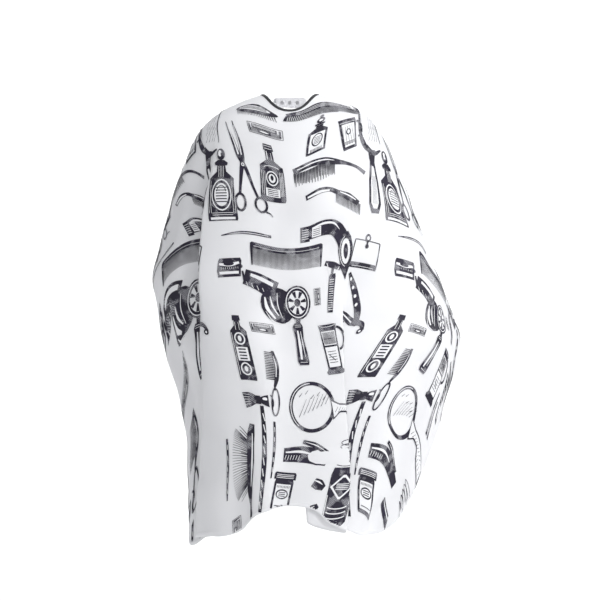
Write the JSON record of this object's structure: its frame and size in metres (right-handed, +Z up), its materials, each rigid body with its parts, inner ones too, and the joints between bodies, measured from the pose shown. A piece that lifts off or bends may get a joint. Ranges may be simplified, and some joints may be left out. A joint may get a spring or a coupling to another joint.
{
  "type": "barber cape",
  "caption": "Printed barber cape spread over shoulders and arms, with a bound neck opening and an open back closed by snap tabs at the nape.",
  "frame": {"origin": "centre of the neck opening, level with its highest points at the sides", "axes": "+Z up along the wearer's neck, wearer faces -Y, +X to the right seen from the front"},
  "size_m": [0.7123, 0.368, 1.0392],
  "materials": {
    "cape_cloth": "satin-weave polyester, printed in black ink on the outer face",
    "binding_tape": "black polyester bias tape",
    "black_thread": "spun polyester thread",
    "white_thread": "spun polyester thread",
    "label_satin": "blank satin ribbon",
    "tab_cloth": "satin-weave polyester, two layers",
    "interfacing": "stiff non-woven",
    "snap_metal": "nickel-plated, satin",
    "spring_steel": "bare spring wire"
  },
  "bodies": {
    "root": {"cape_sheet": "cape_cloth", "neck_binding": "binding_tape", "binding_thread": "black_thread", "hem_thread": "white_thread", "care_label": "label_satin"},
    "left_tab": {"left_tab": "tab_cloth", "left_tab_interfacing": "interfacing", "left_tab_thread": "white_thread", "snap_caps": "snap_metal", "snap_sockets": "snap_metal", "socket_springs": "spring_steel"},
    "right_tab": {"right_tab": "tab_cloth", "right_tab_interfacing": "interfacing", "right_tab_thread": "white_thread", "snap_studs": "snap_metal", "stud_back_rings": "snap_metal"}
  },
  "joints": [
    {"name": "left_tab_open", "type": "hinge", "parent": "root", "child": "left_tab", "pos_m": [-0.0394, 0.0538, -0.01], "axis": [0, 0, 1], "range_deg": [0, 90]},
    {"name": "right_tab_open", "type": "hinge", "parent": "root", "child": "right_tab", "pos_m": [0.0394, 0.0476, -0.01], "axis": [0, 0, 1], "range_deg": [0, 80]}
  ]
}
